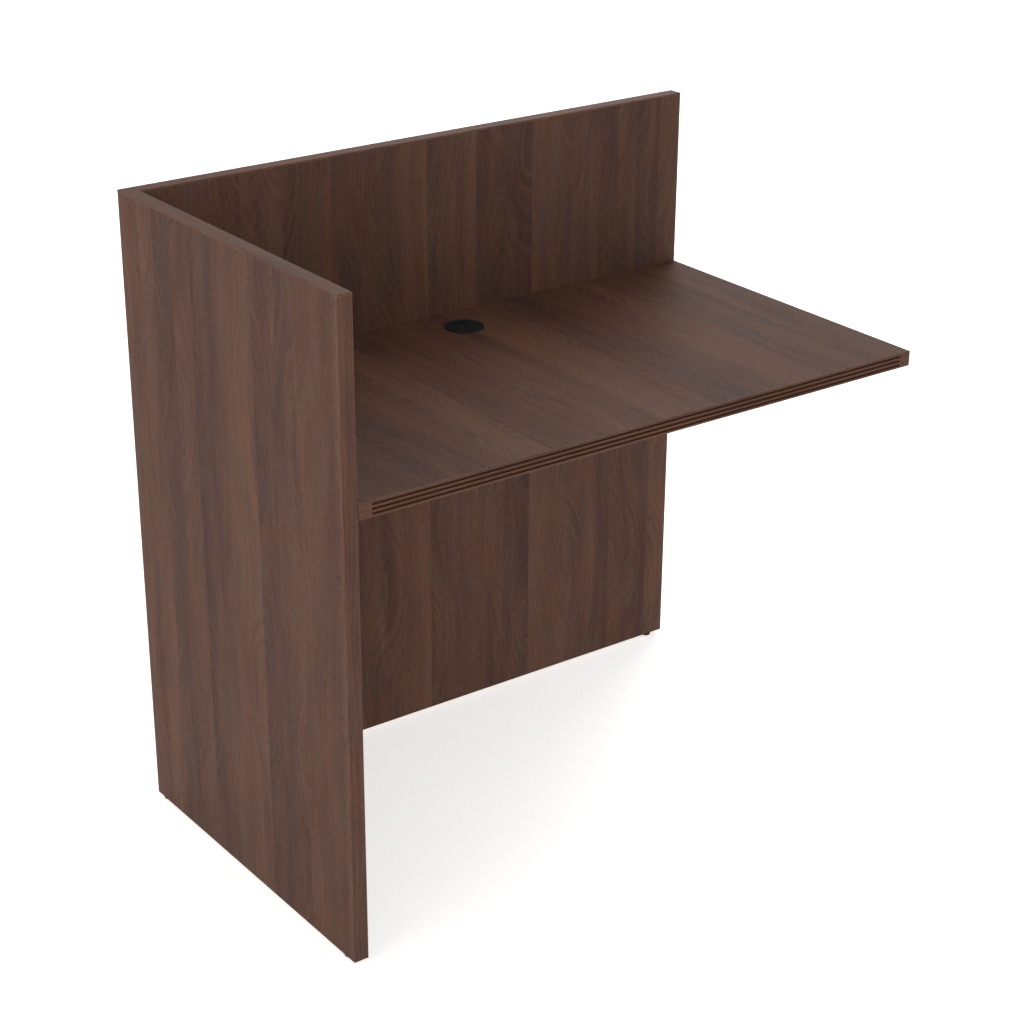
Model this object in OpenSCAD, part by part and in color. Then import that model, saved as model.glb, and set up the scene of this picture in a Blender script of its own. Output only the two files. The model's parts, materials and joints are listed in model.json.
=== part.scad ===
// Reception desk return: a side panel, a back panel and a cantilevered work surface of laminated board.
// Millimetres, +Z up. The origin is on the floor, under the middle of the footprint.
// The side panel stands at -X and the back panel at +Y. The front (-Y) and the right end (+X) are open.

/* [Overall] */
// Width from the outer face of the side panel to the open right end
overall_w = 1090; // [900:10:1500]
// Depth from the fluted front edge to the outer face of the back panel
overall_d = 618; // [560:2:760]
// Height of the side and back panels, without the glides
panel_h = 1054; // [960:2:1200]
// Height of the work surface's top above the floor
work_h = 756; // [700:2:800]
// Thickness of every laminated board
board_t = 25.4; // [24:0.1:30]

/* [Edge bands] */
// Thickness of the edge bands
band_t = 3; // [2:0.5:4]
// Radius of the long outer edges of the bands
band_round = 1.2; // [0.5:0.1:1.5]
// Gap between the side panel and the fluted band's left end
band_gap = 0.8; // [0.3:0.1:2]

/* [Fluted edge] */
// Number of flutes along the front edge
flute_count = 3; // [1:1:3]
// Radius of the half-round flutes
flute_r = 1.8; // [1:0.1:2]
// Distance from one flute to the next
flute_pitch = 7.2; // [5:0.1:7.5]
// Distance from each end of the work surface to the end of the flutes
flute_stop = 22.4; // [10:0.2:60]

/* [Cable grommet] */
// Diameter of the hole in the work surface
grommet_hole_d = 60; // [60:1:80]
// Width of the flange around the hole
grommet_flange_w = 3.6; // [3:0.2:8]
// Distance from the open right end to the grommet's centre
grommet_from_end = 520; // [300:5:700]
// Distance from the back panel's inner face to the grommet's centre
grommet_from_back = 76; // [60:1:150]

/* [Levelling glides] */
// Height of the panels' bottom edge above the floor, with the glides screwed in
glide_h = 8; // [8:0.5:14]
// Diameter of a glide's foot
foot_d = 18; // [16:0.5:22]
// Thread diameter of a glide's stem
stem_d = 8; // [6:0.5:8]
// Distance from the front glide to the front edge
glide_front_inset = 32; // [20:1:80]
// Distance from the rear glide to the back panel's outer face
glide_rear_inset = 17; // [14:1:20]
// Distance from the back panel's left glide to the side panel
glide_left_inset = 60; // [40:1:120]
// Distance from the back panel's right glide to the open right end
glide_right_inset = 27; // [20:1:80]

/* [Fittings] */
// Number of cam fittings between the side panel and the back panel
cam_count = 4; // [3:1:5]
// Distance from the first and last cam to the ends of the panel
cam_inset = 64; // [50:1:90]
// Length of each leg of an angle bracket
bracket_leg = 38; // [34:1:45]
// Width of an angle bracket
bracket_w = 30; // [20:1:40]
// Distance from the outer brackets to the ends of their board
bracket_inset = 110; // [60:5:150]
// Distance between the two joining inserts of a row, along X
joining_spacing_x = 32; // [20:1:60]
// Distance between the two rows of joining inserts, along Y
joining_spacing_y = 360; // [200:10:400]
// Distance from the open right end to the nearer joining inserts
joining_inset = 28; // [20:1:60]

/* [Hidden] */
$fn = 64;
eps = 0.01;
running_gap = 0.05;   // radial clearance of a shaft that turns in its hole
free_gap = 0.3;       // clearance between pieces that move past each other

GLIDE_NAMES = ["side_front", "side_rear", "back_left", "back_right"];
BRACKET_NAMES = ["back_left", "back_middle", "back_right", "side_rear", "side_front"];

// Faces and levels of the carcass
left_x = -overall_w / 2;
right_x = overall_w / 2;
front_y = -overall_d / 2;
rear_y = overall_d / 2;
joint_x = left_x + board_t;
inner_y = rear_y - board_t;
side_mid_x = left_x + board_t / 2;
back_mid_y = rear_y - board_t / 2;
core_h = panel_h - band_t;
band_z = glide_h + core_h;
under_z = work_h - board_t;

// Grommet: levels are counted from the work surface's top
grommet_x = right_x - grommet_from_end;
grommet_y = inner_y - grommet_from_back;
flange_t = 1.8;
flange_round = 1.2;
liner_l = 20;
liner_r = grommet_hole_d / 2 - running_gap;
liner_bore_r = liner_r - 3.3;
lid_t = 2;
lid_r = liner_r - 1.6;
lid_under = flange_t - lid_t;
seat_z = lid_under - free_gap;
skirt_r = liner_bore_r - 0.4;
skirt_t = 1.6;
skirt_l = 8;
slot_w = 24;
slot_d = 11;
slot_from_centre = 15.5;
shutter_r = skirt_r - skirt_t - 0.4;
shutter_t = 1.6;
shutter_top = lid_under - 0.4;
hub_r = 3;
hub_head_r = 4.2;
hub_head_z = shutter_top - shutter_t - 0.4;
hub_head_l = 1.8;

// Levelling glides
glide_places = [
    [side_mid_x, front_y + glide_front_inset],
    [side_mid_x, rear_y - glide_rear_inset],
    [joint_x + glide_left_inset, back_mid_y],
    [right_x - glide_right_inset, back_mid_y]
];
collar_flats = 13;
collar_h = glide_h - 5.9;
collar_z = glide_h - 0.4 - collar_h;
foot_h = collar_z - free_gap;
spigot_r = 3;
spigot_z = 2;
stem_top = glide_h + 37;
insert_r = 5.5;
insert_l = 15;
insert_flange_r = 8;
insert_flange_t = 1.2;
stem_bore_r = 4.5;
stem_bore_l = 40;

// Corner joint between the side panel and the back panel
cam_r = 7.45;
cam_l = 16;
cam_x = joint_x + 24;
cam_step = (core_h - 2 * cam_inset) / (cam_count - 1);
cam_levels = [for (i = [0:cam_count - 1]) glide_h + cam_inset + i * cam_step];
dowel_levels = [for (i = [0:cam_count - 2]) glide_h + cam_inset + (i + 0.5) * cam_step];
cam_shaft_l = 16;
cam_slot = [9, 1.6, 2.5];
cap_r = 8.6;
cap_t = 1.2;
bolt_thread_r = 2.5;
bolt_thread_l = 11;
bolt_shaft_r = 3.5;
bolt_neck_r = 2;
bolt_head_r = 3.2;
bolt_l = 25;
dowel_r = 3.95;
dowel_in_side = 12;
dowel_in_back = 23;

// Brackets: each place is a corner's X and Y, and the turn of its horizontal leg
bracket_t = 2.5;
bracket_bend_r = 3;
bracket_places = [
    [joint_x + bracket_inset, inner_y, -90],
    [(joint_x + right_x) / 2, inner_y, -90],
    [right_x - bracket_inset, inner_y, -90],
    [joint_x, inner_y - bracket_inset, 0],
    [joint_x, front_y + bracket_inset, 0]
];
screw_places = [13, 29];
screw_r = 1.9;
screw_l = 16;
screw_tip_l = 3;
screw_head_r = 4;
screw_head_h = 2.4;
screw_hole_r = 2.2;

// Threaded inserts for the joining plates of the next desk
joining_r = 4.5;
joining_bore_r = 2.5;
joining_l = 12;
joining_places = [
    for (i = [0, 1]) for (j = [-0.5, 0.5])
        [right_x - joining_inset - i * joining_spacing_x, j * joining_spacing_y]
];

walnut = [0.36, 0.27, 0.23];
walnut_band = [0.40, 0.28, 0.23];
black = [0.10, 0.10, 0.10];
steel = [0.62, 0.63, 0.65];
zinc = [0.72, 0.72, 0.70];
brass = [0.72, 0.58, 0.30];
beech = [0.78, 0.63, 0.44];

// ---- Edge bands ----

// Band section along X, with its glued back on Y = 0 and its outer corners rounded where asked
module band_section(length, round_start, round_end) {
    start = round_start ? band_round : 0;
    end = round_end ? band_round : 0;
    square([length, band_t - band_round]);
    translate([start, 0])
        square([length - start - end, band_t]);
    if (round_start)
        translate([band_round, band_t - band_round])
            circle(band_round);
    if (round_end)
        translate([length - band_round, band_t - band_round])
            circle(band_round);
}

// A band as it lies on the bench: length along X, board thickness along Y, outer face up
module band(length, round_start = false, round_end = false) {
    intersection() {
        rotate([90, 0, 90])
            linear_extrude(length)
                band_section(board_t, true, true);
        translate([0, board_t, 0])
            rotate([90, 0, 0])
                linear_extrude(board_t)
                    band_section(length, round_start, round_end);
    }
}

// Ball-ended cutters for the flutes of a front band of this length
module flutes(length) {
    for (i = [0:flute_count - 1])
        translate([0, board_t / 2 + (i - (flute_count - 1) / 2) * flute_pitch, band_t]) {
            translate([flute_stop + flute_r, 0, 0])
                rotate([0, 90, 0])
                    cylinder(r = flute_r, h = length - 2 * (flute_stop + flute_r));
            for (x = [flute_stop + flute_r, length - flute_stop - flute_r])
                translate([x, 0, 0])
                    sphere(flute_r);
        }
}

// ---- Holes that two or more pieces share ----

module grommet_hole() {
    translate([grommet_x, grommet_y, under_z - eps])
        cylinder(d = grommet_hole_d, h = board_t + 2 * eps);
}

module glide_holes() {
    for (p = glide_places)
        translate([p[0], p[1], glide_h - eps]) {
            cylinder(r = insert_flange_r + running_gap, h = insert_flange_t + running_gap + eps);
            cylinder(r = insert_r + running_gap, h = insert_l + running_gap + eps);
            cylinder(r = stem_bore_r, h = stem_bore_l + eps);
        }
}

module cam_holes() {
    for (z = cam_levels) {
        translate([cam_x, inner_y - eps, z])
            rotate([-90, 0, 0])
                cylinder(r = cam_r + running_gap, h = cam_l + running_gap + eps);
        translate([joint_x - eps, back_mid_y, z])
            rotate([0, 90, 0])
                cylinder(r = bolt_shaft_r + 0.5, h = cam_x - joint_x);
    }
}

module bolt_holes() {
    for (z = cam_levels)
        translate([joint_x - bolt_thread_l - 0.5, back_mid_y, z])
            rotate([0, 90, 0])
                cylinder(r = bolt_thread_r + running_gap, h = bolt_thread_l + 0.5 + eps);
}

module dowel_holes() {
    for (z = dowel_levels)
        translate([joint_x - dowel_in_side - 0.5, back_mid_y, z])
            rotate([0, 90, 0])
                cylinder(r = dowel_r + running_gap, h = dowel_in_side + dowel_in_back + 1);
}

// Puts its children at each bracket's corner, with the vertical leg's board behind X = 0
module at_brackets() {
    for (p = bracket_places)
        translate([p[0], p[1], under_z])
            rotate([0, 0, p[2]])
                children();
}

// Puts its children at each screw of a bracket: +Z points into the board, and Z = 0 is the leg's face
module at_bracket_screws() {
    for (s = screw_places) {
        translate([s, 0, -bracket_t])
            children();
        translate([bracket_t, 0, -s])
            rotate([0, -90, 0])
                children();
    }
}

module screw_holes() {
    at_brackets()
        at_bracket_screws()
            cylinder(r = screw_r + running_gap, h = screw_l + 0.5);
}

module joining_holes() {
    for (p = joining_places)
        translate([p[0], p[1], under_z - eps])
            cylinder(r = joining_r + running_gap, h = joining_l + 1 + eps);
}

// ---- Boards and their bands ----

module side_panel() {
    color(walnut)
        difference() {
            translate([left_x, front_y + band_t, glide_h])
                cube([board_t, overall_d - 2 * band_t, core_h]);
            bolt_holes();
            dowel_holes();
            screw_holes();
            glide_holes();
        }
}

module side_front_band() {
    color(walnut_band)
        translate([joint_x, front_y + band_t, glide_h])
            rotate([0, -90, 90])
                band(core_h);
}

module side_rear_band() {
    color(walnut_band)
        translate([left_x, rear_y - band_t, glide_h])
            rotate([0, -90, -90])
                band(core_h);
}

module side_top_band() {
    color(walnut_band)
        translate([joint_x, front_y, band_z])
            rotate([0, 0, 90])
                band(overall_d, true, true);
}

module back_panel() {
    color(walnut)
        difference() {
            translate([joint_x, inner_y, glide_h])
                cube([right_x - band_t - joint_x, board_t, core_h]);
            cam_holes();
            dowel_holes();
            screw_holes();
            glide_holes();
        }
}

module back_top_band() {
    color(walnut_band)
        translate([joint_x, inner_y, band_z])
            band(right_x - joint_x, false, true);
}

module back_end_band() {
    color(walnut_band)
        translate([right_x - band_t, rear_y, glide_h])
            rotate([0, -90, 180])
                band(core_h);
}

module work_surface() {
    color(walnut)
        difference() {
            translate([joint_x, front_y + band_t, under_z])
                cube([right_x - band_t - joint_x, inner_y - front_y - band_t, board_t]);
            grommet_hole();
            screw_holes();
            joining_holes();
        }
}

module surface_front_band() {
    length = right_x - joint_x - band_gap;
    color(walnut_band)
        translate([joint_x + band_gap, front_y + band_t, under_z])
            rotate([90, 0, 0])
                difference() {
                    band(length, true, true);
                    flutes(length);
                }
}

module surface_end_band() {
    color(walnut_band)
        translate([right_x - band_t, front_y + band_t, under_z])
            rotate([90, 0, 90])
                band(inner_y - front_y - band_t);
}

// ---- Cable grommet ----

module at_grommet() {
    translate([grommet_x, grommet_y, work_h])
        children();
}

module slot_shape() {
    straight = slot_w - slot_d;
    square([straight, slot_d], center = true);
    for (side = [-1, 1])
        translate([side * straight / 2, 0])
            circle(d = slot_d);
}

module grommet_liner() {
    flange_r = grommet_hole_d / 2 + grommet_flange_w;
    color(black)
        at_grommet()
            rotate_extrude()
                difference() {
                    union() {
                        translate([liner_bore_r, -liner_l])
                            square([liner_r - liner_bore_r, liner_l + flange_t]);
                        translate([liner_bore_r, 0])
                            square([flange_r - liner_bore_r, flange_t - flange_round]);
                        translate([liner_bore_r, 0])
                            square([flange_r - liner_bore_r - flange_round, flange_t]);
                        intersection() {
                            translate([flange_r - flange_round, flange_t - flange_round])
                                circle(flange_round);
                            square([flange_r, flange_t]);
                        }
                    }
                    translate([0, seat_z])
                        square([lid_r + free_gap, flange_t - seat_z + eps]);
                }
}

module grommet_lid() {
    color(black)
        at_grommet()
            difference() {
                union() {
                    translate([0, 0, lid_under])
                        cylinder(r = lid_r, h = lid_t);
                    translate([0, 0, lid_under - skirt_l])
                        difference() {
                            cylinder(r = skirt_r, h = skirt_l + eps);
                            translate([0, 0, -eps])
                                cylinder(r = skirt_r - skirt_t, h = skirt_l + eps);
                        }
                    translate([0, 0, hub_head_z])
                        cylinder(r = hub_r, h = lid_under - hub_head_z + eps);
                    translate([0, 0, hub_head_z - hub_head_l])
                        cylinder(r1 = hub_r, r2 = hub_head_r, h = hub_head_l);
                }
                translate([0, slot_from_centre, lid_under - eps])
                    linear_extrude(lid_t + 2 * eps)
                        slot_shape();
            }
}

module grommet_shutter() {
    grip_r = 0.4;
    grip_l = 10;
    color(black)
        at_grommet()
            translate([0, 0, shutter_top - shutter_t])
                difference() {
                    cylinder(r = shutter_r, h = shutter_t);
                    translate([0, 0, -eps])
                        cylinder(r = hub_r + running_gap, h = shutter_t + 2 * eps);
                    translate([0, -slot_from_centre, -eps])
                        linear_extrude(shutter_t + 2 * eps)
                            slot_shape();
                    for (i = [-1:1])
                        translate([-grip_l / 2, slot_from_centre + 2.5 * i, shutter_t])
                            rotate([0, 90, 0])
                                cylinder(r = grip_r, h = grip_l);
                }
}

// ---- Corner joint fittings ----

module cam_lock() {
    difference() {
        cylinder(r = cam_r, h = cam_l);
        for (turn = [0, 90])
            rotate([0, 0, turn])
                translate([-cam_slot[0] / 2, -cam_slot[1] / 2, -eps])
                    cube([cam_slot[0], cam_slot[1], cam_slot[2] + eps]);
        translate([-cam_r - 1, 0, board_t / 2])
            rotate([0, 90, 0])
                cylinder(r = bolt_head_r + 0.4, h = cam_r + 4);
    }
}

module cam_locks() {
    color(zinc)
        for (z = cam_levels)
            translate([cam_x, inner_y, z])
                rotate([-90, 0, 0])
                    cam_lock();
}

// A cam bolt along +Z, with Z = 0 at the joint between the two panels
module cam_bolt() {
    neck_z = cam_shaft_l;
    head_z = bolt_l - 4;
    translate([0, 0, -bolt_thread_l])
        cylinder(r = bolt_thread_r, h = bolt_thread_l + eps);
    cylinder(r = bolt_shaft_r, h = neck_z);
    translate([0, 0, neck_z - eps])
        cylinder(r = bolt_neck_r, h = head_z - neck_z + 2 * eps);
    translate([0, 0, head_z])
        cylinder(r = bolt_head_r, h = bolt_l - head_z);
}

module cam_bolts() {
    color(steel)
        for (z = cam_levels)
            translate([joint_x, back_mid_y, z])
                rotate([0, 90, 0])
                    cam_bolt();
}

module cam_cap() {
    plug = [cam_slot[0] - 0.6, cam_slot[1] - 0.3, cam_slot[2] - 0.5];
    cylinder(r1 = cap_r - 0.5, r2 = cap_r, h = cap_t / 2);
    translate([0, 0, cap_t / 2])
        cylinder(r = cap_r, h = cap_t / 2);
    for (turn = [0, 90])
        rotate([0, 0, turn])
            translate([-plug[0] / 2, -plug[1] / 2, cap_t - eps])
                cube([plug[0], plug[1], plug[2] + eps]);
}

module cam_caps() {
    color(walnut)
        for (z = cam_levels)
            translate([cam_x, inner_y - cap_t, z])
                rotate([-90, 0, 0])
                    cam_cap();
}

module wood_dowels() {
    chamfer = 1;
    length = dowel_in_side + dowel_in_back;
    color(beech)
        for (z = dowel_levels)
            translate([joint_x - dowel_in_side, back_mid_y, z])
                rotate([0, 90, 0]) {
                    cylinder(r1 = dowel_r - chamfer, r2 = dowel_r, h = chamfer);
                    translate([0, 0, chamfer])
                        cylinder(r = dowel_r, h = length - 2 * chamfer);
                    translate([0, 0, length - chamfer])
                        cylinder(r1 = dowel_r, r2 = dowel_r - chamfer, h = chamfer);
                }
}

// ---- Brackets and screws ----

// Side view of a bent bracket, corner at the origin: X along the underside, Y up the vertical board
module bracket_section() {
    inner = bracket_bend_r;
    outer = bracket_bend_r + bracket_t;
    translate([0, -bracket_leg])
        square([bracket_t, bracket_leg - outer]);
    translate([outer, -bracket_t])
        square([bracket_leg - outer, bracket_t]);
    intersection() {
        translate([0, -outer])
            square([outer, outer]);
        translate([outer, -outer])
            difference() {
                circle(outer);
                circle(inner);
            }
    }
}

module bracket(i) {
    p = bracket_places[i];
    color(steel)
        translate([p[0], p[1], under_z])
            rotate([0, 0, p[2]])
                difference() {
                    translate([0, bracket_w / 2, 0])
                        rotate([90, 0, 0])
                            linear_extrude(bracket_w)
                                bracket_section();
                    at_bracket_screws()
                        translate([0, 0, -eps])
                            cylinder(r = screw_hole_r, h = bracket_t + 2 * eps);
                }
}

// A pan-head screw along +Z, with Z = 0 under its head
module wood_screw() {
    recess = [4.2, 0.9, 1.6];
    difference() {
        union() {
            translate([0, 0, -screw_head_h / 2])
                cylinder(r = screw_head_r, h = screw_head_h / 2);
            translate([0, 0, -screw_head_h])
                cylinder(r1 = screw_head_r - 1, r2 = screw_head_r, h = screw_head_h / 2);
        }
        for (turn = [0, 90])
            rotate([0, 0, turn])
                translate([-recess[0] / 2, -recess[1] / 2, -screw_head_h - eps])
                    cube([recess[0], recess[1], recess[2] + eps]);
    }
    cylinder(r = screw_r, h = screw_l - screw_tip_l);
    translate([0, 0, screw_l - screw_tip_l])
        cylinder(r1 = screw_r, r2 = 0.3, h = screw_tip_l);
}

module bracket_screws() {
    color(steel)
        at_brackets()
            at_bracket_screws()
                wood_screw();
}

module joining_inserts() {
    color(brass)
        for (p = joining_places)
            translate([p[0], p[1], under_z])
                difference() {
                    cylinder(r = joining_r, h = joining_l);
                    translate([0, 0, -eps])
                        cylinder(r = joining_bore_r, h = joining_l + 2 * eps);
                }
}

// ---- Levelling glides ----

module glide_inserts() {
    color(zinc)
        for (p = glide_places)
            translate([p[0], p[1], glide_h])
                difference() {
                    union() {
                        cylinder(r = insert_flange_r, h = insert_flange_t);
                        cylinder(r = insert_r, h = insert_l);
                    }
                    translate([0, 0, -eps])
                        cylinder(d = stem_d + 2 * running_gap, h = insert_l + 2 * eps);
                }
}

// A foot's section: a flat sole, a rounded tread and a sloping top around the stem's socket
module foot_section() {
    tread_r = 1.6;
    foot_r = foot_d / 2;
    difference() {
        union() {
            square([foot_r - tread_r, foot_h - 1]);
            translate([0, tread_r])
                square([foot_r, foot_h - 1 - tread_r]);
            translate([foot_r - tread_r, tread_r])
                circle(tread_r);
            polygon([[0, foot_h - 1], [foot_r, foot_h - 1], [foot_r - 1.4, foot_h], [0, foot_h]]);
        }
        translate([0, spigot_z - free_gap])
            square([spigot_r + running_gap, foot_h]);
    }
}

module glide_foot(i) {
    p = glide_places[i];
    color(black)
        translate([p[0], p[1], 0])
            rotate_extrude()
                foot_section();
}

module glide_stem(i) {
    p = glide_places[i];
    color(steel)
        translate([p[0], p[1], 0]) {
            translate([0, 0, spigot_z])
                cylinder(r = spigot_r, h = collar_z - spigot_z + eps);
            translate([0, 0, collar_z])
                cylinder(d = collar_flats / cos(30), h = collar_h, $fn = 6);
            translate([0, 0, collar_z + collar_h - eps])
                cylinder(d = stem_d, h = stem_top - collar_z - collar_h + eps);
        }
}

side_panel();
side_front_band();
side_rear_band();
side_top_band();
back_panel();
back_top_band();
back_end_band();
work_surface();
surface_front_band();
surface_end_band();
grommet_liner();
grommet_lid();
grommet_shutter();
cam_locks();
cam_bolts();
cam_caps();
wood_dowels();
for (i = [0:len(BRACKET_NAMES) - 1])
    bracket(i);
bracket_screws();
joining_inserts();
glide_inserts();
for (i = [0:len(GLIDE_NAMES) - 1]) {
    glide_foot(i);
    glide_stem(i);
}
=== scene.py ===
"""Looks of the reception desk return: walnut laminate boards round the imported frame, in metres."""
import json
import math
from collections import namedtuple

import bpy
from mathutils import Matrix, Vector


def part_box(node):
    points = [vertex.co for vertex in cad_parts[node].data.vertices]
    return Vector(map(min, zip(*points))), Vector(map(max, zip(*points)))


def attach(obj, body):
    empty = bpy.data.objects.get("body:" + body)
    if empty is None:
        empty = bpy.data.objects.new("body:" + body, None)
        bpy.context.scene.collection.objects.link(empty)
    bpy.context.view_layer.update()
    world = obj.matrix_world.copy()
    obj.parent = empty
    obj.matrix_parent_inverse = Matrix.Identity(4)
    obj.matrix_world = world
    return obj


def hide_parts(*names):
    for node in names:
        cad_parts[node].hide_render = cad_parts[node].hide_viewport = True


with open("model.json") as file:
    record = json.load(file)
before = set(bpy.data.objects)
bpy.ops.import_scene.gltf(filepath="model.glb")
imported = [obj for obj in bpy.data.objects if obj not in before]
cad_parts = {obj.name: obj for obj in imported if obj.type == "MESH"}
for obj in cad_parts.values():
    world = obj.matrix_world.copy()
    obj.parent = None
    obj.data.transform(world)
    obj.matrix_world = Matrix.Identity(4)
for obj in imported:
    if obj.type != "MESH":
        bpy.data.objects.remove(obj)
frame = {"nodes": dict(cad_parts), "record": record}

MM = 0.001
X, Y, Z = 0, 1, 2
NODES = frame["nodes"]
BODIES = frame["record"]["behaviour"]["bodies"]
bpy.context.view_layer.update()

# Veneer leaves of the prints, from the low end of each board's across axis: width in millimetres, tone at the
# leaf's low edge and tone at its high edge. A tone of 0 is the mean walnut.
SIDE_LEAVES = (
    (12, 0.20, 0.08), (101, -0.05, 0.08), (58, 0.00, -0.07), (56, -0.10, -0.12), (88, 0.20, 0.08),
    (86, 0.00, -0.18), (54, 0.02, -0.02), (54, -0.10, -0.10), (46, 0.03, 0.16), (64, 0.02, 0.15),
)
BACK_LEAVES = (
    (105, 0.02, 0.08), (63, -0.08, -0.04), (29, 0.10, 0.04), (47, 0.00, 0.13), (91, 0.00, 0.04),
    (88, -0.16, -0.08), (100, -0.06, 0.20), (100, -0.03, 0.08), (59, -0.04, -0.09), (55, -0.10, -0.16),
    (89, 0.17, 0.02), (101, 0.07, -0.15), (42, -0.04, -0.08), (50, -0.14, -0.12), (46, 0.04, 0.10),
)
TOP_LEAVES = (
    (40, -0.06, 0.00), (93, -0.14, -0.09), (123, -0.18, -0.02), (25, 0.03, 0.07), (53, 0.15, 0.25),
    (112, -0.10, 0.03), (103, 0.17, -0.06), (100, 0.26, 0.04), (86, -0.12, -0.14), (93, 0.03, 0.11),
    (47, 0.18, 0.03), (53, -0.12, -0.06), (41, -0.04, 0.02), (96, -0.07, 0.03),
)


# ---- Colours ----

def linear(*srgb):
    """A shader colour from 0 to 255 sRGB values."""
    values = [v / 255 for v in srgb]
    return [v / 12.92 if v <= 0.04045 else ((v + 0.055) / 1.055) ** 2.4 for v in values] + [1.0]


WALNUT = (0.0845, 0.0436, 0.0320)          # mean colour of the print
TONE_AXIS = (0.68, 0.66, 0.44)             # how a step of tone changes it, as a power of e
HUE_AXIS = (0.59, -0.20, -0.78)            # and how a step of redness does
TONE_REACH = 0.55                          # furthest tone to each side of the mean
HUE_REACH = 0.10                           # furthest redness to each side of the mean

# Lighter walnut of the band edges: partly worn print, partly a painted highlight where the rounded edges
# catch the light
WALNUT_WEAR_AND_HIGHLIGHT = linear(138, 104, 84)
GROOVE = linear(58, 31, 14)
CHIP_DARK, CHIP_LIGHT = linear(112, 90, 66), linear(150, 124, 92)
BLACK, WORN_BLACK = linear(33, 33, 35), linear(43, 43, 45)
BROWN, WORN_BROWN = linear(78, 60, 52), linear(104, 84, 74)
BEECH_DARK, BEECH_LIGHT, BEECH_FLECK = linear(188, 148, 102), linear(216, 180, 132), linear(140, 98, 62)
FLOOR_DARK, FLOOR_LIGHT = linear(240, 240, 240), linear(244, 244, 244)
WHITE = (1.0, 1.0, 1.0, 1.0)

# A metal's two clouded tints, its least roughness, and how lumpy its casting is
Metal = namedtuple("Metal", "tint dull roughness cast")
PLATED = Metal(linear(206, 207, 205), linear(172, 174, 172), 0.26, 0.0)
PLATED_THREAD = PLATED._replace(roughness=0.24)
ZINC = Metal(linear(198, 198, 196), linear(160, 160, 158), 0.40, 0.6)
BRASS = Metal(linear(212, 178, 108), linear(178, 142, 80), 0.28, 0.0)

# Specular levels
BOARD_GLOSS = 0.05
BAND_GLOSS = 0.07
PLASTIC_GLOSS = 0.12


# ---- Node graphs ----

class Graph:
    """A material's nodes. Any input takes a number, a colour or another node's output."""

    def __init__(self, name, **sockets):
        self.material = bpy.data.materials.new(name)
        self.material.use_nodes = True
        self.tree = self.material.node_tree
        self.shader = self.tree.nodes["Principled BSDF"]
        for key, value in sockets.items():
            self.shader.inputs[key.replace("_", " ")].default_value = value
        self.place = self.node("ShaderNodeTexCoord").outputs["Object"]
        self.xyz = self.node("ShaderNodeSeparateXYZ", {0: self.place}).outputs

    def put(self, socket, value):
        if isinstance(value, bpy.types.NodeSocket):
            self.tree.links.new(value, socket)
        else:
            socket.default_value = value

    def node(self, kind, inputs=None, **settings):
        made = self.tree.nodes.new(kind)
        for key, value in settings.items():
            setattr(made, key, value)
        for key, value in (inputs or {}).items():
            self.put(made.inputs[key], value)
        return made

    def math(self, operation, *values):
        return self.node("ShaderNodeMath", dict(enumerate(values)), operation=operation).outputs[0]

    def add(self, *values):
        total = values[0]
        for value in values[1:]:
            total = self.math("ADD", total, value)
        return total

    def less(self, a, b):
        return self.math("SUBTRACT", a, b)

    def times(self, a, b):
        return self.math("MULTIPLY", a, b)

    def fit(self, value, low, high, to_low=0.0, to_high=1.0, smooth=False):
        kind = "SMOOTHSTEP" if smooth else "LINEAR"
        inputs = dict(enumerate((value, low, high, to_low, to_high)))
        return self.node("ShaderNodeMapRange", inputs, interpolation_type=kind).outputs[0]

    def spread(self, noise, to_low=0.0, to_high=1.0):
        """The middle of a noise's range, stretched to another range."""
        return self.fit(noise, 0.3, 0.7, to_low, to_high)

    def swing(self, noise, reach):
        """The middle of a noise's range, stretched to so much on each side of zero."""
        return self.fit(noise, 0.25, 0.75, -reach, reach)

    def mix(self, factor, a, b):
        made = self.node("ShaderNodeMix", data_type="RGBA")
        for key, value in ((0, factor), (6, a), (7, b)):
            self.put(made.inputs[key], value)
        return made.outputs[2]

    def vector(self, x=0.0, y=0.0, z=0.0):
        return self.node("ShaderNodeCombineXYZ", {0: x, 1: y, 2: z}).outputs[0]

    def noise(self, where, scale=1.0, detail=2.0, rough=0.5):
        inputs = {"Vector": where, "Scale": scale, "Detail": detail, "Roughness": rough}
        return self.node("ShaderNodeTexNoise", inputs, noise_dimensions="3D").outputs["Fac"]

    def layer(self, kind, across, along, draw, rough=0.5):
        """A layer of the walnut print. The draw sets it apart from the same layer of another leaf."""
        where = self.vector(self.times(across, kind.across), self.times(along, kind.along), draw)
        return self.noise(where, 1.0, kind.octaves, rough)

    def finish(self, color, roughness, height, depth):
        bump = self.node("ShaderNodeBump", {"Strength": 1.0, "Distance": depth, "Height": height})
        self.put(self.shader.inputs["Base Color"], color)
        self.put(self.shader.inputs["Roughness"], roughness)
        self.put(self.shader.inputs["Normal"], bump.outputs["Normal"])
        return self.material


# ---- Walnut print ----

# Where a leaf's figure has its heart, the leaf's tone, and two random draws: one shifts its noises
Leaf = namedtuple("Leaf", "heart tone shift draw")

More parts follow.
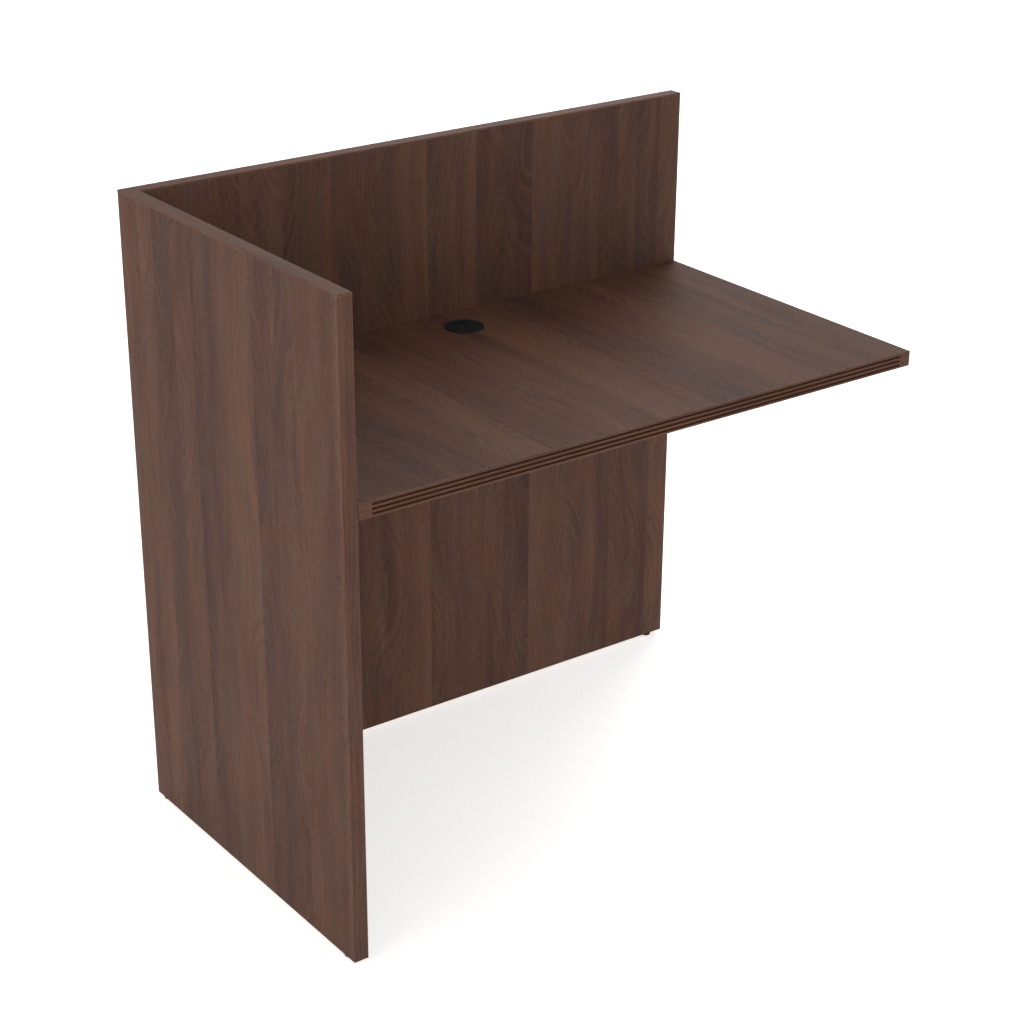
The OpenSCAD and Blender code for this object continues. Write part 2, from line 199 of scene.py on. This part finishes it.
# Layers of noise: features in a metre across and along the grain, octaves, and reach to each side. An across
# of 1 is for a layer whose place across is already a count of features.
Layer = namedtuple("Layer", "across along octaves reach")
WANDER = Layer(1.0, 3.2, 1.0, 28 * MM)     # three layers bend the growth rings, by so many metres
DRIFT = Layer(20.0, 6.0, 2.0, 8 * MM)
RIPPLE = Layer(80.0, 50.0, 1.0, 1.3 * MM)
SWAY = Layer(26.0, 4.0, 1.0, 3.0)          # one shifts the fine rings, by so many of them
BROAD = Layer(1.0, 2.2, 3.0, 0.26)         # these change the tone
YEAR = Layer(200.0, 5.0, 1.0, 0.21)
PATCH = Layer(22.0, 7.0, 3.0, 0.18)
THREAD = Layer(520.0, 70.0, 1.0, 0.12)
FIBRE = Layer(1100.0, 40.0, 2.0, 0.08)
PORE = Layer(2400.0, 150.0, 1.0, -0.14)    # it only darkens
HUE = Layer(30.0, 9.0, 2.0, 0.5)           # and these the redness
TINT = Layer(200.0, 30.0, 2.0, 0.25)

BROAD_RINGS, BROAD_LINES = 14.0, 42.0      # features of the broad layer in a metre of rings, and across
FINE_RINGS, FINE_REACH = 115.0, 0.12       # fine rings in a metre, and their reach in tone
SPECK, SPECK_REACH = 360.0, 0.34           # an even fleck
CLEAR, FAINT = 10 * MM, 90 * MM            # the rings fade to half between these distances from the heart
PORE_EDGE = (0.62, 0.72)                   # the pores are the peaks of their noise
FIGURE_REPEAT = 0.9                        # length along the grain of one rise and fall of the figure
BOARD_TILT, BAND_TILT = 0.40, 0.02         # slope of the growth rings through the veneer
HEART_OUTSIDE = 0.18                       # a figure's heart lies so far outside its leaf, in leaf widths
OTHER_FACE = 2.37                          # the second face's print is the first one slid so far
LEAF_CONTRAST = 1.5
LEAF_WARMTH = 0.15                         # a leaf may be so much redder or less red than its board
TOP_WARMTH, BAND_WARMTH = 0.35, 0.25

# A leaf's random draws set its noises this far apart, and slide its figure up to this far along the grain
NOISE_SHIFT, FIGURE_SLIDE = 17.0, 3.0
HUE_SHIFT, TINT_SHIFT = 40.0, 60.0         # and these keep the layers of redness apart from the others


def walnut(tone, red):
    """The walnut's colour at one tone and one redness."""
    return [c * math.exp(t * tone + h * red) for c, t, h in zip(WALNUT, TONE_AXIS, HUE_AXIS)] + [1.0]


def find_leaf(g, across, low, leaves, seed):
    """The leaf at a place across the board: its figure's heart, its tone and two random draws."""
    span = sum(width for width, _, _ in leaves) * MM
    ramp = g.node("ShaderNodeValToRGB", {0: g.fit(across, low, low + span)})

    # The colour of a stop holds its leaf's start and width, as shares of the span, and its two tones
    table = ramp.color_ramp
    table.interpolation = "CONSTANT"
    start = 0.0
    for i, (width, tone_low, tone_high) in enumerate(leaves):
        stop = table.elements[0] if i == 0 else table.elements.new(start / span)
        stop.color = (start / span, width * MM / span, tone_low + 0.5, tone_high + 0.5)
        start += width * MM
    table.elements.remove(table.elements[-1])

    out = g.node("ShaderNodeSeparateColor", {0: ramp.outputs["Color"]}).outputs
    first = g.fit(out[0], 0.0, 1.0, low, low + span)
    width = g.times(out[1], span)
    inside = g.math("DIVIDE", g.less(across, first), width)
    tone = g.fit(inside, 0.0, 1.0, g.add(out[2], -0.5), g.add(ramp.outputs["Alpha"], -0.5))
    draws = g.node("ShaderNodeTexWhiteNoise", {"W": g.add(out[0], seed)}, noise_dimensions="1D")
    draws = g.node("ShaderNodeSeparateColor", {0: draws.outputs["Color"]}).outputs
    side = g.math("GREATER_THAN", draws[2], 0.5)
    heart = g.add(first, g.times(width, g.fit(side, 0.0, 1.0, -HEART_OUTSIDE, 1.0 + HEART_OUTSIDE)))
    return Leaf(heart, tone, g.times(draws[0], NOISE_SHIFT), draws[1])


def growth_ring(g, across, along, leaf, tilt):
    """Distance from the heart of a leaf's figure. It wanders to each side and rises and falls."""
    wander = g.fit(g.layer(WANDER, leaf.shift, along, leaf.draw), 0.0, 1.0, -WANDER.reach, WANDER.reach)
    aside = g.add(g.less(across, leaf.heart), wander)
    turn = g.times(g.add(along, g.times(leaf.draw, FIGURE_SLIDE)), 2 * math.pi / FIGURE_REPEAT)
    rise = g.times(g.math("SINE", turn), tilt * FIGURE_REPEAT / (2 * math.pi))
    ring = g.math("SQRT", g.add(g.times(aside, aside), g.times(rise, rise)))
    for bend in (DRIFT, RIPPLE):
        noise = g.layer(bend, across, along, leaf.shift)
        ring = g.add(ring, g.fit(noise, 0.0, 1.0, -bend.reach, bend.reach))
    return ring


def figure_tone(g, across, along, ring, leaf):
    """Tone of the leaf, its patches and its broad, yearly and fine rings, which fade from the heart."""
    clear = g.fit(ring, CLEAR, FAINT, 1.0, 0.5)
    streak = g.add(g.times(ring, BROAD_RINGS), g.times(across, BROAD_LINES))
    broad = g.layer(BROAD, streak, along, leaf.shift)
    year = g.layer(YEAR, ring, along, leaf.shift)
    patch = g.layer(PATCH, across, along, leaf.shift)
    sway = g.times(g.layer(SWAY, ring, along, leaf.shift), SWAY.reach)
    fine = g.math("SINE", g.times(g.add(g.times(ring, FINE_RINGS), sway), 2 * math.pi))
    return g.add(
        g.times(leaf.tone, LEAF_CONTRAST),
        g.swing(broad, BROAD.reach),
        g.times(clear, g.swing(year, YEAR.reach)),
        g.times(clear, g.times(fine, FINE_REACH)),
        g.swing(patch, PATCH.reach),
    )


def redness(g, across, along, ring, leaf, warmth):
    """How red the print is, from 0 to 1."""
    hue = g.layer(HUE, across, along, g.add(leaf.shift, HUE_SHIFT))
    tint = g.layer(TINT, ring, along, g.add(leaf.shift, TINT_SHIFT))
    own = g.fit(leaf.draw, 0.0, 1.0, warmth - LEAF_WARMTH, warmth + LEAF_WARMTH)
    red = g.add(g.spread(hue, 0.5 - HUE.reach, 0.5 + HUE.reach), g.swing(tint, TINT.reach), own)
    return g.fit(red, 0.0, 1.0)


def walnut_print(g, across, along, leaf, tilt=BOARD_TILT, warmth=0.0):
    """Colour, roughness and height of a walnut print with its grain along one axis."""
    ring = growth_ring(g, across, along, leaf, tilt)
    thread = g.layer(THREAD, across, along, leaf.draw)
    fibre = g.layer(FIBRE, across, along, leaf.draw, rough=0.6)
    pore = g.fit(g.layer(PORE, across, along, leaf.draw), *PORE_EDGE, smooth=True)
    speck = g.noise(g.vector(across, along, leaf.draw), scale=SPECK, detail=2.0, rough=0.8)
    tone = g.add(
        figure_tone(g, across, along, ring, leaf),
        g.swing(thread, THREAD.reach),
        g.swing(fibre, FIBRE.reach),
        g.swing(speck, SPECK_REACH),
        g.times(pore, PORE.reach),
    )
    tone = g.fit(tone, -TONE_REACH, TONE_REACH)
    red = redness(g, across, along, ring, leaf, warmth)
    plain = g.mix(tone, walnut(-TONE_REACH, -HUE_REACH), walnut(TONE_REACH, -HUE_REACH))
    warm = g.mix(tone, walnut(-TONE_REACH, HUE_REACH), walnut(TONE_REACH, HUE_REACH))
    roughness = g.add(g.fit(fibre, 0.2, 0.8, 0.54, 0.64), g.times(pore, 0.10))
    height = g.add(g.times(fibre, 0.35), g.times(speck, 0.30), g.times(pore, -0.8))
    return g.mix(red, plain, warm), roughness, height


# ---- Boards ----

# The axes across and along a board's grain and through the board, its leaves, and the seed of their draws
Board = namedtuple("Board", "name across along through leaves seed")

CHIPS = 520.0                              # chips in a metre of bare particleboard
BARE_ROUGHNESS = 0.4                       # it is so much rougher than the laminate


def bare_edges(g, axis, color, roughness):
    """Puts bare particleboard on the faces that look along one axis."""
    chips = g.node("ShaderNodeTexVoronoi", {"Vector": g.place, "Scale": CHIPS}).outputs["Color"]
    chips = g.node("ShaderNodeSeparateColor", {0: chips}).outputs[0]
    normal = g.node("ShaderNodeNewGeometry").outputs["Normal"]
    facing = g.node("ShaderNodeSeparateXYZ", {0: normal}).outputs[axis]
    bare = g.math("GREATER_THAN", g.math("ABSOLUTE", facing), 0.7)
    color = g.mix(bare, color, g.mix(chips, CHIP_DARK, CHIP_LIGHT))
    return color, g.add(roughness, g.times(bare, BARE_ROUGHNESS))


def laminate(node, board, warmth=0.0, bare=False):
    """A laminated board. The print on its second face is the first one slid along the grain."""
    low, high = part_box(node)
    middle = (low[board.through] + high[board.through]) / 2
    g = Graph(board.name, Specular_IOR_Level=BOARD_GLOSS)
    second = g.math("GREATER_THAN", g.xyz[board.through], middle)
    across = g.xyz[board.across]
    along = g.add(g.xyz[board.along], g.times(second, OTHER_FACE))
    leaf = find_leaf(g, across, low[board.across], board.leaves, board.seed)
    color, roughness, height = walnut_print(g, across, along, leaf, warmth=warmth)
    if bare:
        color, roughness = bare_edges(g, Z, color, roughness)
    return g.finish(color, roughness, height, depth=0.06 * MM)


def edge_distance(g, low, high):
    """Distance from the nearest edge of a box: the second smallest distance to its faces."""
    x, y, z = (
        g.math("MINIMUM", g.less(g.xyz[i], low[i]), g.less(high[i], g.xyz[i]))
        for i in range(3)
    )
    return g.math("MAXIMUM", g.math("MINIMUM", x, y), g.math("MINIMUM", g.math("MAXIMUM", x, y), z))


def edge_wear(g, low, high, reach):
    """How worn a surface is, from 0 to 1: patchy, and only along the edges of its box. On the bands it also
    places a painted highlight.
    """
    near = g.fit(edge_distance(g, low, high), 0.0, reach, 1.0, 0.0)
    patch = g.fit(g.noise(g.place, scale=60.0, detail=3.0), 0.35, 0.65, 0.25, 1.0)
    return g.times(near, patch)


# How far the wear reaches from the edges; on the bands this lighter edge is also a painted highlight
BAND_WEAR_AND_HIGHLIGHT, PLASTIC_WEAR, METAL_WEAR = 1.6 * MM, 0.8 * MM, 0.6 * MM

BAND_HEART, HEART_SWAY = 30 * MM, 20 * MM  # a band's figure has its heart so far outside it, give or take
BAND_DRAWS = (0.371, 0.733)                # these make a band's two draws from its seed
FLUTE_REACH = 9.8 * MM                     # from the fluted band's middle to just past its outer flutes
FLUTE_DARK = (0.15 * MM, 0.6 * MM)         # depths in a flute where its dark colour starts and is full


def band(node, across, along, seed, tone=0.0, flutes=False):
    """An edge band printed like the boards, with its grain along its length."""
    low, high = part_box(node)
    g = Graph(node, Specular_IOR_Level=BAND_GLOSS)
    heart = low[across] - BAND_HEART + HEART_SWAY * math.sin(seed)
    draws = [seed * draw % 1.0 for draw in BAND_DRAWS]
    leaf = Leaf(heart, tone, draws[0] * NOISE_SHIFT, draws[1])
    color, roughness, height = walnut_print(g, g.xyz[across], g.xyz[along], leaf, BAND_TILT, BAND_WARMTH)
    # Lighter band edges: partly real edge wear, partly a painted highlight where the rounded edges catch the
    # light
    wear = edge_wear(g, low, high, BAND_WEAR_AND_HIGHLIGHT)
    color = g.mix(g.times(wear, 0.35), color, WALNUT_WEAR_AND_HIGHLIGHT)
    if flutes:
        deep = g.fit(g.xyz[Y], low.y + FLUTE_DARK[0], low.y + FLUTE_DARK[1], smooth=True)
        off_middle = g.math("ABSOLUTE", g.less(g.xyz[Z], (low.z + high.z) / 2))
        inside = g.math("LESS_THAN", off_middle, FLUTE_REACH)
        color = g.mix(g.times(deep, inside), color, GROOVE)
    return g.finish(color, roughness, height, depth=0.05 * MM)


# ---- Other materials ----

SCRATCHES = (3000.0, 260.0, 3000.0)        # scratches in a metre along each axis
BEECH_FIBRES = (40.0, 1500.0, 1500.0)      # fibres in a metre along each axis: the dowels lie along X
FLOOR_GLOW = 0.6


def plastic(name, tint, worn, low, high):
    """Moulded plastic with a fine spark-eroded texture and slightly polished edges."""
    g = Graph(name, Specular_IOR_Level=PLASTIC_GLOSS)
    grain = g.noise(g.place, scale=2400.0, detail=2.0)
    cloud = g.noise(g.place, scale=90.0, detail=3.0)
    wear = edge_wear(g, low, high, PLASTIC_WEAR)
    color = g.mix(g.spread(cloud, 0.0, 0.35), tint, worn)
    color = g.mix(g.times(wear, 0.5), color, worn)
    roughness = g.add(g.spread(grain, 0.50, 0.64), g.times(wear, -0.12))
    return g.finish(color, roughness, grain, depth=0.03 * MM)


def metal(name, kind, low, high):
    """Metal, plated or cast: clouded, finely scratched and brighter along its edges."""
    g = Graph(name, Metallic=1.0)
    cloud = g.noise(g.place, scale=140.0, detail=4.0, rough=0.6)
    drawn = g.node("ShaderNodeVectorMath", {0: g.place, 1: SCRATCHES}, operation="MULTIPLY").outputs[0]
    scratch = g.noise(drawn, detail=1.0)
    wear = edge_wear(g, low, high, METAL_WEAR)
    bright = [min(1.0, v * 1.25) for v in kind.tint]
    color = g.mix(g.spread(cloud), kind.tint, kind.dull)
    color = g.mix(g.times(wear, 0.6), color, bright)
    clouded = g.spread(cloud, kind.roughness, kind.roughness + 0.14)
    roughness = g.add(clouded, g.spread(scratch, 0.0, 0.08))
    height = g.add(g.times(scratch, 0.2), g.times(cloud, kind.cast))
    return g.finish(color, roughness, height, depth=0.03 * MM)


def beech(name):
    """Turned beech with short dark flecks."""
    g = Graph(name)
    fibre = g.noise(g.vector(*(g.times(g.xyz[i], BEECH_FIBRES[i]) for i in range(3))))
    fleck = g.fit(fibre, 0.62, 0.70, smooth=True)
    color = g.mix(g.fit(fibre, 0.2, 0.8), BEECH_DARK, BEECH_LIGHT)
    color = g.mix(g.times(fleck, 0.6), color, BEECH_FLECK)
    roughness = g.fit(fibre, 0.2, 0.8, 0.55, 0.75)
    return g.finish(color, roughness, fibre, depth=0.08 * MM)


def pale_floor():
    """A plain pale floor with a trace of variation, lit from below like a studio table."""
    g = Graph("pale_floor", Specular_IOR_Level=0.0, Emission_Color=WHITE, Emission_Strength=FLOOR_GLOW)
    cloud = g.noise(g.place, scale=0.8, detail=3.0)
    color = g.mix(g.spread(cloud), FLOOR_DARK, FLOOR_LIGHT)
    roughness = g.spread(cloud, 0.7, 0.8)
    return g.finish(color, roughness, g.noise(g.place, scale=300.0), depth=0.05 * MM)


# ---- What each node is made of ----

def dress(node, material):
    """Gives a CAD node its material."""
    slots = NODES[node].data.materials
    slots.clear()
    slots.append(material)


def dress_boards():
    side = Board("side_laminate", Y, Z, X, SIDE_LEAVES, 1.7)
    back = Board("back_laminate", X, Z, Y, BACK_LEAVES, 4.2)
    top = Board("top_laminate", X, Y, Z, TOP_LEAVES, 2.9)
    dress("side_panel", laminate("side_panel", side, bare=True))
    dress("back_panel", laminate("back_panel", back, bare=True))
    dress("work_surface", laminate("work_surface", top, warmth=TOP_WARMTH))


def dress_bands():
    dress("side_front_band", band("side_front_band", X, Z, 3.1))
    dress("side_rear_band", band("side_rear_band", X, Z, 5.7))
    # Painted light: the two top bands face up and are printed lighter (tone 0.15 and 0.12) than the other
    # bands, for the light they catch from above.
    dress("side_top_band", band("side_top_band", X, Y, 8.3, tone=0.15))
    dress("back_top_band", band("back_top_band", Y, X, 2.2, tone=0.12))
    dress("back_end_band", band("back_end_band", Y, Z, 6.4))
    dress("surface_front_band", band("surface_front_band", Z, X, 4.9, flutes=True))
    dress("surface_end_band", band("surface_end_band", Z, Y, 7.6))


def dress_fittings():
    for node in NODES:
        low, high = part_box(node)
        if node.startswith(("grommet_", "glide_foot_")):
            dress(node, plastic(node, BLACK, WORN_BLACK, low, high))
        elif node == "cam_caps":
            dress(node, plastic(node, BROWN, WORN_BROWN, low, high))
        elif node.startswith(("bracket_", "cam_bolts", "glide_stem_")):
            dress(node, metal(node, PLATED, low, high))
        elif node in ("cam_locks", "glide_inserts"):
            dress(node, metal(node, ZINC, low, high))
        elif node == "joining_inserts":
            dress(node, metal(node, BRASS, low, high))
        elif node == "wood_dowels":
            dress(node, beech(node))


# ---- Threaded stems of the glides ----

STEM_RADIUS = 4.0 * MM
SPIGOT_RADIUS = 3.0 * MM                   # it turns in the foot
COLLAR_LOW, COLLAR_HIGH = 3.5 * MM, 5.6 * MM        # above the stem's lowest point
HEX_FLATS = 13 * MM
CHAMFER = 0.4 * MM
CORNER_CUT = 1.6                           # the hexagon's corners are turned down by so many chamfers
PITCH = 1.25 * MM
THREAD_DEPTH = 0.65 * MM
FLANK = 0.44                               # half width of a tooth at its root, in pitches
CREST_FLAT = 1.25                          # a tooth is made so much too high, then cut flat
RUN_OUT = 0.6                              # the thread's ends taper over so many pitches
LEAST_TOOTH = 0.15                         # depth of the thread at its very ends, as a share of the whole
STEPS_PER_PITCH, ROUND_STEPS = 8, 48
SHARP_ANGLE = math.radians(40)


def hexagon(angle, limit):
    """Radius of a hexagon whose corners are turned down to a limit."""
    sector = math.pi / 3
    off = (angle + sector / 2) % sector - sector / 2
    return min(HEX_FLATS / 2 / math.cos(off), limit)


def thread_radius(z, angle, start, end):
    """Radius of a right-hand thread that runs out at both of its ends."""
    phase = (z / PITCH - angle / (2 * math.pi)) % 1.0
    tooth = max(0.0, 1.0 - abs(phase - 0.5) / FLANK)
    crest = min(tooth * CREST_FLAT, 1.0)
    room = min((z - start) / PITCH, (end - z) / PITCH, 1.0)
    cut = (1.0 - crest) * min(1.0, room + LEAST_TOOTH) + max(0.0, RUN_OUT - room)
    return STEM_RADIUS - THREAD_DEPTH * cut


def stem_levels(low, high):
    """(height, radius as a function of the angle) up the stem: spigot, hexagon collar, then thread."""
    collar_low, collar_high = low.z + COLLAR_LOW, low.z + COLLAR_HIGH
    corner = HEX_FLATS / 2 / math.cos(math.pi / 6)
    turned = corner - CORNER_CUT * CHAMFER
    yield low.z, lambda a: SPIGOT_RADIUS - CHAMFER
    yield low.z + CHAMFER, lambda a: SPIGOT_RADIUS
    yield collar_low, lambda a: SPIGOT_RADIUS
    yield collar_low, lambda a: hexagon(a, turned)
    yield collar_low + CHAMFER, lambda a: hexagon(a, corner)
    yield collar_high - CHAMFER, lambda a: hexagon(a, corner)
    yield collar_high, lambda a: hexagon(a, turned)
    yield collar_high, lambda a: STEM_RADIUS - THREAD_DEPTH
    step = PITCH / STEPS_PER_PITCH
    for i in range(1, int((high.z - collar_high) / step)):
        z = collar_high + i * step
        yield z, lambda a, z=z: thread_radius(z, a, collar_high, high.z)
    yield high.z, lambda a: STEM_RADIUS - (1.0 + RUN_OUT) * THREAD_DEPTH


def stem_mesh(name, low, high):
    """A closed mesh of the stem, one ring of points for each level."""
    middle = (low + high) / 2
    points, faces = [], []
    for z, radius in stem_levels(low, high):
        for i in range(ROUND_STEPS):
            angle = 2 * math.pi * i / ROUND_STEPS
            r = radius(angle)
            points.append((middle.x + r * math.cos(angle), middle.y + r * math.sin(angle), z))
    last = len(points) - ROUND_STEPS
    for start in range(0, last, ROUND_STEPS):
        for i in range(ROUND_STEPS):
            a, b = start + i, start + (i + 1) % ROUND_STEPS
            faces.append((a, b, b + ROUND_STEPS, a + ROUND_STEPS))
    faces.append(tuple(range(ROUND_STEPS))[::-1])
    faces.append(tuple(range(last, last + ROUND_STEPS)))
    mesh = bpy.data.meshes.new(name)
    mesh.from_pydata(points, [], faces)
    mesh.update()
    mesh.set_sharp_from_angle(angle=SHARP_ANGLE)
    mesh.polygons.foreach_set("use_smooth", [True] * len(mesh.polygons))
    return mesh


def threaded_stem(node, body):
    """A stem with a real thread, in place of the plain one."""
    low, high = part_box(node)
    name = node + "_threaded"
    mesh = stem_mesh(name, low, high)
    mesh.materials.append(metal(name, PLATED_THREAD, low, high))
    piece = bpy.data.objects.new(name, mesh)
    bpy.context.scene.collection.objects.link(piece)
    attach(piece, body)
    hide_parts(node)


def make_stems():
    for body, members in BODIES.items():
        for node in members:
            if node.startswith("glide_stem_"):
                threaded_stem(node, body)


# ---- Studio ----

CAMERA_PLACE = (-2.051, -2.734, 2.013)
CAMERA_YAW, CAMERA_PITCH = -35.61, -25.10
CAMERA_LENS = 80.0
CAMERA_SHIFT = (0.032, 0.047)

# The sky's strength low down and high up, where a height is 0 at the horizon and 1 overhead
HORIZON_UP, HORIZON_LIGHT = 0.1, 1.12
ZENITH_UP, ZENITH_LIGHT = 0.95, 0.50

Softbox = namedtuple("Softbox", "name place target size power")
SOFTBOXES = (
    Softbox("key", (-4.2, -1.4, 1.8), (-0.5, 0.0, 0.6), 2.2, 22.0),
    Softbox("rim", (3.2, 2.9, 4.2), (0.2, 0.0, 0.75), 3.4, 140.0),
)
FLOOR_RADIUS = 40.0


def make_camera():
    data = bpy.data.cameras.new("camera")
    data.lens = CAMERA_LENS
    data.shift_x, data.shift_y = CAMERA_SHIFT
    data.clip_end = 100.0
    camera = bpy.data.objects.new("camera", data)
    camera.location = CAMERA_PLACE
    camera.rotation_euler = (math.radians(90 + CAMERA_PITCH), 0.0, math.radians(CAMERA_YAW))
    bpy.context.scene.collection.objects.link(camera)
    bpy.context.scene.camera = camera


def make_sky():
    """A white sky that is brighter at the horizon than overhead."""
    world = bpy.data.worlds.new("studio")
    world.use_nodes = True
    tree = world.node_tree
    background = tree.nodes["Background"]
    direction = tree.nodes.new("ShaderNodeTexCoord")
    parts = tree.nodes.new("ShaderNodeSeparateXYZ")
    level = tree.nodes.new("ShaderNodeMapRange")
    background.inputs["Color"].default_value = WHITE
    level.inputs["From Min"].default_value = HORIZON_UP
    level.inputs["From Max"].default_value = ZENITH_UP
    level.inputs["To Min"].default_value = HORIZON_LIGHT
    level.inputs["To Max"].default_value = ZENITH_LIGHT
    tree.links.new(direction.outputs["Generated"], parts.inputs[0])
    tree.links.new(parts.outputs["Z"], level.inputs["Value"])
    tree.links.new(level.outputs[0], background.inputs["Strength"])
    bpy.context.scene.world = world


def make_softbox(box):
    data = bpy.data.lights.new(box.name, "AREA")
    data.shape = "DISK"
    data.size = box.size
    data.energy = box.power
    lamp = bpy.data.objects.new(box.name, data)
    lamp.location = box.place
    lamp.visible_camera = False
    aim = Vector(box.target) - Vector(box.place)
    lamp.rotation_euler = aim.to_track_quat("-Z", "Y").to_euler()
    bpy.context.scene.collection.objects.link(lamp)


def make_floor():
    bpy.ops.mesh.primitive_circle_add(vertices=96, radius=FLOOR_RADIUS, fill_type="NGON")
    floor = bpy.context.object
    floor.name = "floor"
    floor.data.materials.append(pale_floor())


bpy.context.scene.view_settings.view_transform = "Standard"
make_camera()
make_sky()
for softbox in SOFTBOXES:
    make_softbox(softbox)
make_floor()
dress_boards()
dress_bands()
dress_fittings()
make_stems()
